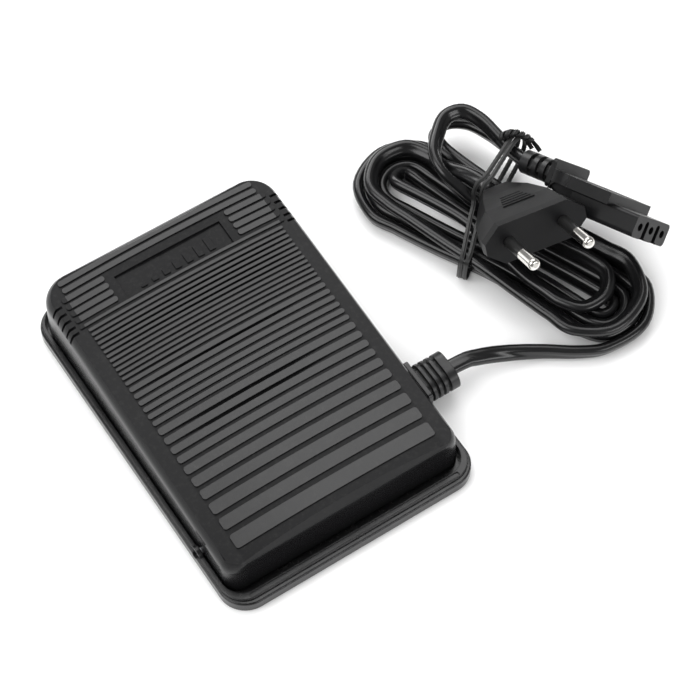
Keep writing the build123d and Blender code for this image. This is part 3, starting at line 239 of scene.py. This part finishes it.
NODE_FINISH = {
    "base_tray": "tray", "rubber_feet": "rubber", "treadle": "treadle", "hinge_axle": "steel",
    "axle_clips": "steel", "lever_pin": "steel", "speed_lever": "acetal", "circuit_board": "laminate",
    "board_screws": "zinc", "slide_pot": "grey", "wiper_slide": "acetal", "heat_sink": "aluminium",
    "triac": "epoxy", "sink_screw": "zinc", "film_capacitor": "yellow", "choke_core": "ferrite",
    "choke_winding": "copper", "resistors": "tan", "terminal_block": "green", "terminal_screws": "zinc",
    "return_springs": "spring", "stop_bumper": "rubber", "cord_clamp": "grey", "clamp_screws": "zinc",
    "cord_bushing": "soft_pvc", "core_wires": "wire", "plug_body": "plug_pvc", "plug_pins": "nickel",
    "pin_sleeves": "sleeve", "connector_body": "black_gloss", "connector_contacts": "brass",
    "connector_relief": "soft_pvc", "pedal_cord": "cord_pvc", "mains_cord": "cord_pvc", "twist_tie": "tie",
}
for node, finish in NODE_FINISH.items():
    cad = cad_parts[node]
    cad.data.materials.clear()
    cad.data.materials.append(MATERIALS[finish])

# ------------------------------------------------------------ swept pieces
# Lengths below are millimetres in the row frame; meshes are made in metres.


def smooth_line(points, steps):
    """Points on a smooth curve through the given rows of numbers."""
    rows = np.array(points, float)
    out = []
    for i in range(len(rows) - 1):
        a, b, c, d = rows[max(i - 1, 0)], rows[i], rows[i + 1], rows[min(i + 2, len(rows) - 1)]
        for k in range(steps):
            t = k / steps
            out.append(0.5 * (2 * b + (c - a) * t + (2 * a - 5 * b + 4 * c - d) * t * t
                              + (3 * b - a - 3 * c + d) * t**3))
    out.append(rows[-1])
    return np.array(out)


def swept(name, centre, long_side, profile, closed=False, scale=None):
    """Mesh of a profile carried along centre; long_side is the profile's X at each point."""
    centre, long_side = np.array(centre, float), np.array(long_side, float)
    count, ring = len(centre), len(profile)
    ahead = np.roll(centre, -1, 0) - np.roll(centre, 1, 0)
    if not closed:
        ahead[0], ahead[-1] = centre[1] - centre[0], centre[-1] - centre[-2]
    ahead /= np.linalg.norm(ahead, axis=1)[:, None]
    side = long_side - (long_side * ahead).sum(1)[:, None] * ahead
    side /= np.linalg.norm(side, axis=1)[:, None]
    normal = np.cross(ahead, side)
    verts = []
    for i in range(count):
        k = 1.0 if scale is None else scale[i]
        for u, v in profile:
            verts.append((centre[i] + side[i] * u * k + normal[i] * v * k) / 1000)
    faces = []
    for i in range(count if closed else count - 1):
        j = (i + 1) % count
        for k in range(ring):
            m = (k + 1) % ring
            faces.append((i * ring + k, i * ring + m, j * ring + m, j * ring + k))
    if not closed:
        faces.append(tuple(range(ring))[::-1])
        faces.append(tuple((count - 1) * ring + k for k in range(ring)))
    mesh = bpy.data.meshes.new(name)
    mesh.from_pydata([tuple(v) for v in verts], [], faces)
    mesh.shade_smooth()
    mesh.update()
    piece = bpy.data.objects.new(name, mesh)
    bpy.context.scene.collection.objects.link(piece)
    return piece


CORD_W, CORD_T = 5.5, 3.45
MIDDLE_DIP = 0.07


def flat_cord_profile():
    """Flat cord: round edges, sides that dip very slightly between the two cores."""
    half, r = CORD_W / 2, CORD_T / 2
    side = []
    for k in range(9):
        dip = MIDDLE_DIP * (1 - math.cos(math.pi * k / 4)) / 2
        side.append(((half - r) * (1 - 2 * k / 8), r - dip))
    edge = [(-(half - r) - r * math.sin(a), r * math.cos(a)) for a in np.linspace(0, math.pi, 11)[1:-1]]
    top = side + edge
    return top + [(-u, -v) for u, v in top]


# Where the cord leaves the tray, and the hank's middle, direction and nested loops.
CORD_Y, CORD_Z = -28.6, 7.4
HANK_MID = (98.5, 3.0)
HANK_DIR = (0.342, -0.940)
NEST_HALF = 3.2
NEST_PITCH = 3.8
STRAIGHT_HALF = 39.5
LAYER_Z = (3.0, 8.3)
WAIST, WAIST_AT, WAIST_REACH = 1.2, -6, 22
SPREAD = 0.003
UPPER_LAP_SHORT = 9.0
MAINS_SHORT = 4.0
LOWER_LEAN = 106
UPPER_LEAN = 138
MAINS_LEAN = 42
TURN_STEP = 0.04
# Share of a turn that each half of a straight side and each end bend takes, and where those begin.
SIDE_SHARE, BEND_SHARE = 0.18, 0.14
NEAR_BEND, NEAR_SIDE = 0.18, 0.32
FAR_SIDE, FAR_BEND, LAST_SIDE = 0.5, 0.68, 0.82


def ease(t):
    """Smooth step from 0 to 1."""
    t = max(0.0, min(1.0, t))
    return t * t * (3 - 2 * t)


def on_floor(along, across):
    """Plan position of a point of the hank, drawn in where it is tied."""
    across *= 1 + SPREAD * abs(along)
    waist = WAIST * math.exp(-(((along - WAIST_AT) / WAIST_REACH) ** 2))
    if across > 0:
        across -= min(waist, across)
    else:
        across += min(waist, -across)
    x = HANK_MID[0] + HANK_DIR[0] * along - HANK_DIR[1] * across
    y = HANK_MID[1] + HANK_DIR[1] * along + HANK_DIR[0] * across
    return x, y


def on_turn(nest, turn, short=0.0):
    """Plan position on a long loop: 0 is the left middle, going nearwards.

    The near bend comes short of the full length by the amount given.
    """
    half = NEST_HALF + NEST_PITCH * nest
    near = STRAIGHT_HALF - short
    turn %= 1.0
    if turn < NEAR_BEND:
        return on_floor(near * turn / SIDE_SHARE, -half)
    if turn < NEAR_SIDE:
        bend = (turn - NEAR_BEND) / BEND_SHARE * math.pi
        return on_floor(near + half * math.sin(bend), -half * math.cos(bend))
    if turn < FAR_SIDE:
        return on_floor(near * (1 - (turn - NEAR_SIDE) / SIDE_SHARE), half)
    if turn < FAR_BEND:
        return on_floor(STRAIGHT_HALF * (1 - (turn - NEAR_SIDE) / SIDE_SHARE), half)
    if turn < LAST_SIDE:
        bend = (turn - FAR_BEND) / BEND_SHARE * math.pi
        return on_floor(-STRAIGHT_HALF - half * math.sin(bend), half * math.cos(bend))
    return on_floor(-STRAIGHT_HALF * (1 - (turn - LAST_SIDE) / SIDE_SHARE), -half)


PEDAL_NESTS = (3, 2, 1, 0, 1.45)
LAP_EARLY, LAP_CHANGE = 0.09, 0.2


def pedal_turn(turn):
    """One point of the cord from the tray, wound inwards, then up and out."""
    lap = int(turn + LAP_EARLY)
    before = PEDAL_NESTS[max(lap - 1, 0)]
    nest = before + (PEDAL_NESTS[lap] - before) * ease((turn - lap + LAP_EARLY) / LAP_CHANGE)
    x, y = on_turn(nest, turn, UPPER_LAP_SHORT if turn > 4 else 0.0)
    z = LAYER_Z[0] + (LAYER_Z[1] - LAYER_Z[0]) * ease((turn - 3.58) / 0.32)
    upper = ease((turn - 3.9) / 0.1) * ease((4.42 - turn) / 0.2)
    return x, y, z, LOWER_LEAN + (UPPER_LEAN - LOWER_LEAN) * upper


def mains_turn(turn):
    """One point of the mains cord: the outer lap of the upper layer."""
    nest = 3 - ease((turn - 1.0) / LAP_CHANGE)
    x, y = on_turn(nest, 1 - turn, MAINS_SHORT)
    return x, y, LAYER_Z[1], MAINS_LEAN


PEDAL_FIRST, PEDAL_STEPS = 0.215, 108
MAINS_FIRST, MAINS_STEPS = 0.37, 25
PEDAL_TURNS = [pedal_turn(PEDAL_FIRST + TURN_STEP * i) for i in range(PEDAL_STEPS)]
PEDAL_EXIT = [
    (98.6, 17.6, 8.9, 100),
    (95.9, 24.0, 11.4, 90),
    (93.8, 31.0, 14.4, 72),
    (95.2, 38.0, 15.8, 58),
    (100.6, 44.0, 16.2, 50),
    (106.5, 48.0, 16.2, 45),
    (112.6, 47.0, 16.1, 50),
    (115.8, 41.0, 15.6, 62),
    (117.0, 33.0, 14.9, 78),
    (117.7, 25.5, 14.4, 90),
    (118.5, 19.9, 15.2, 90),
]
MAINS_START = [
    (122.4, 19.8, 10.7, 90),
    (121.2, 25.5, 9.0, 90),
    (119.8, 32.0, 8.4, 80),
    (118.0, 38.5, 8.3, 70),
    (114.5, 46.0, 8.3, 60),
    (108.5, 50.0, 8.3, 52),
    (103.2, 48.8, 8.3, 46),
    (101.7, 43.6, 8.3, 42),
]
MAINS_TURNS = [mains_turn(MAINS_FIRST + TURN_STEP * i) for i in range(MAINS_STEPS)]
MAINS_EXIT = [
    (97.0, 37.2, 9.0, 42),
    (98.4, 32.4, 10.6, 36),
    (100.6, 27.5, 12.2, 26),
    (102.2, 22.5, 13.2, 14),
    (102.7, 18.5, 13.7, 5),
    (102.6, 15.4, 14.6, 0),
    (102.3, 12.9, 15.95, 0),
]
CORD_INNER_END = 31.0
LEAD = [
    (CORD_INNER_END, CORD_Y, CORD_Z, 0),
    (58.0, CORD_Y, CORD_Z, 0),
    (66.0, -29.6, 6.4, 15),
    (76.0, -32.8, 4.3, 50),
    (86.0, -37.8, 3.1, 80),
    (95.5, -44.2, 3.0, 95),
]


def long_sides(line, leans):
    """Long side of the cord at each point: level at 0 degrees, on edge at 90."""
    ahead = np.gradient(line, axis=0)
    level = np.stack([-ahead[:, 1], ahead[:, 0], np.zeros(len(line))], 1)
    level /= np.linalg.norm(level, axis=1)[:, None]
    a = np.radians(leans)[:, None]
    return level * np.cos(a) + np.array((0, 0, 1)) * np.sin(a)


RELIEF_END = [(119.1, 17.6, 16.0, 90)]
RELIEF_START = [(122.9, 17.4, 11.4, 90)]
PLUG_END = [(102.2, 11.6, 16.7, 0)]
CORDS = (
    ("pedal_cord", LEAD + PEDAL_TURNS + PEDAL_EXIT + RELIEF_END),
    ("mains_cord", RELIEF_START + MAINS_START + MAINS_TURNS + MAINS_EXIT + PLUG_END),
)
for node, rows in CORDS:
    curve = smooth_line(rows, 6)
    cord = swept(f"{node}_visual", curve[:, :3], long_sides(curve[:, :3], curve[:, 3]), flat_cord_profile())
    cord.data.materials.append(MATERIALS["cord_pvc"])
    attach(cord, "base")
    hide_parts(node)

# -------------------------------------------------------------- twist tie
TIE_ACROSS = (-0.573, 0.82, 0)
TIE_LINE = [
    (125.4, 22.6, 12.9),
    (124.9, 24.8, 14.6),
    (123.4, 26.4, 17.4),
    (120.8, 27.2, 19.3),
    (117.6, 26.2, 19.3),
    (110.0, 22.4, 18.6),
    (103.6, 19.2, 18.1),
    (100.3, 18.3, 18.0),
    (98.0, 17.0, 15.2),
    (96.8, 15.0, 12.6),
    (92.5, 11.0, 11.8),
    (88.5, 7.2, 11.7),
    (83.6, 2.4, 11.65),
    (81.3, 0.6, 10.6),
    (80.55, 0.1, 8.0),
    (80.35, -0.1, 4.4),
    (80.9, 0.35, 1.3),
    (83.4, 2.2, -0.07),
    (92.0, 10.0, -0.07),
    (108.0, 20.8, -0.07),
    (116.0, 25.2, 1.4),
    (121.6, 28.0, 4.2),
    (124.4, 29.6, 7.6),
    (124.6, 29.8, 11.6),
    (122.8, 29.6, 16.0),
    (119.8, 29.6, 18.8),
    (116.6, 29.2, 19.8),
]


def tie_profile():
    """Thin ribbed strip with a thicker wire down the middle."""
    top = [(0.8, 0.0), (0.72, 0.24), (0.52, 0.14), (0.34, 0.18), (0.18, 0.38), (-0.18, 0.38), (-0.34, 0.18),
           (-0.52, 0.14), (-0.72, 0.24)]
    return top + [(-u, -v) for u, v in top]


STRAND_SHIFT = 1.15
SWAY = 0.30
RIB_SWELL, RIB_RATE = 0.09, 2.4
tie_parts = []
for strand, shift in enumerate((-STRAND_SHIFT, STRAND_SHIFT)):
    line = smooth_line(TIE_LINE, 12)
    phase = np.linspace(0, 5 * math.pi, len(line))
    sway = shift * (1 + SWAY * np.cos(phase + strand))
    line += np.array(TIE_ACROSS) * sway[:, None]
    ribs = 1 + RIB_SWELL * np.sin(np.arange(len(line)) * RIB_RATE)
    tie_parts.append(swept(f"tie_strand_{strand}", line, np.tile(TIE_ACROSS, (len(line), 1)),
                           tie_profile(), scale=ribs))

# The two ends, twisted round each other past the loop.
KNOT_LINE = [
    (116.0, 29.6, 18.6),
    (118.0, 28.6, 20.6),
    (120.4, 27.2, 20.6),
    (122.6, 26.0, 18.8),
    (124.4, 24.8, 16.8),
]
TWIST_HALF_TURNS = 5.5
knot = smooth_line(KNOT_LINE, 16)
for strand in (0, 1):
    turns = np.linspace(0, TWIST_HALF_TURNS * math.pi, len(knot)) + strand * math.pi
    ahead = np.gradient(knot, axis=0)
    ahead /= np.linalg.norm(ahead, axis=1)[:, None]
    out = np.cross(ahead, (0, 0, 1.0))
    out /= np.linalg.norm(out, axis=1)[:, None]
    up = np.cross(out, ahead)
    around = out * np.cos(turns)[:, None] + up * np.sin(turns)[:, None]
    tie_parts.append(swept(f"tie_end_{strand}", knot + around, np.cross(ahead, around), tie_profile()))
for piece in tie_parts:
    piece.data.materials.append(MATERIALS["tie"])
    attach(piece, "base")
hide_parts("twist_tie")

# ------------------------------------------------------------------- studio
scene = bpy.context.scene
FLOOR_Z = rest_low.z - 0.00005
FLOOR_REACH = 6.0
corners = [(x * FLOOR_REACH, y * FLOOR_REACH, FLOOR_Z) for x, y in ((-1, -1), (1, -1), (1, 1), (-1, 1))]
plane_mesh = bpy.data.meshes.new("floor")
plane_mesh.from_pydata(corners, [], [(0, 1, 2, 3)])
floor = bpy.data.objects.new("floor", plane_mesh)
scene.collection.objects.link(floor)
floor_mat, floor_tree, floor_shader = new_material("pale floor")
floor_place = floor_tree.nodes.new("ShaderNodeTexCoord").outputs["Object"]
floor_tone = ramp(floor_tree, noise(floor_tree, floor_place, 3.0, 2.0), 0.90, 0.93)
floor_colour = floor_tree.nodes.new("ShaderNodeCombineColor")
for channel in ("Red", "Green", "Blue"):
    floor_tree.links.new(floor_tone, floor_colour.inputs[channel])
floor_tree.links.new(floor_colour.outputs["Color"], floor_shader.inputs["Base Color"])
floor_shader.inputs["Roughness"].default_value = 0.7
floor_shader.inputs["Specular IOR Level"].default_value = 0.2
floor.data.materials.append(floor_mat)

# An even white surround that reflections see much darker, so black plastic keeps its depth.
SKY_STRENGTH, SKY_IN_REFLECTIONS = 0.80, 0.22
world = bpy.data.worlds.new("studio")
world.use_nodes = True
sky = world.node_tree
sky_ray = sky.nodes.new("ShaderNodeLightPath").outputs["Is Glossy Ray"]
sky_strength = ramp(sky, sky_ray, SKY_STRENGTH, SKY_IN_REFLECTIONS, 0.0, 1.0)
sky.links.new(sky_strength, sky.nodes["Background"].inputs["Strength"])
sky.nodes["Background"].inputs["Color"].default_value = (1, 1, 1, 1)
scene.world = world


def softbox(name, place, target, size, power, size_y=None):
    """A square or rectangular lamp at place, facing target; sizes in metres, power in watts."""
    light = bpy.data.lights.new(name, "AREA")
    light.shape = "RECTANGLE"
    light.size, light.size_y = size, size_y or size
    light.energy = power
    box = bpy.data.objects.new(name, light)
    box.location = place
    box.rotation_euler = (Vector(target) - Vector(place)).to_track_quat("-Z", "Y").to_euler()
    scene.collection.objects.link(box)


middle = (0.045, 0.0, 0.01)
softbox("key", (-0.70, 0.10, 0.85), middle, 0.8, 6.5)
softbox("rib light", (0.38, -0.98, 0.52), middle, 0.8, 3.4, 0.3)
softbox("far strip", (0.15, 0.95, 0.75), middle, 0.9, 4.5, 0.35)
softbox("overhead", (0.32, 0.45, 0.90), middle, 0.75, 4.2)

camera_data = bpy.data.cameras.new("camera")
camera_data.sensor_width = 36.0
camera_data.lens = 121.23
camera_data.clip_start, camera_data.clip_end = 0.05, 20.0
camera = bpy.data.objects.new("camera", camera_data)
camera.location = (-0.17826, -0.32860, 0.64823)
look = Vector((0.2827, 0.4316, -0.8566))
camera.rotation_mode = "QUATERNION"
camera.rotation_quaternion = look.to_track_quat("-Z", "Y")
scene.collection.objects.link(camera)
scene.camera = camera
scene.view_settings.view_transform = "Standard"
scene.view_settings.look = "None"
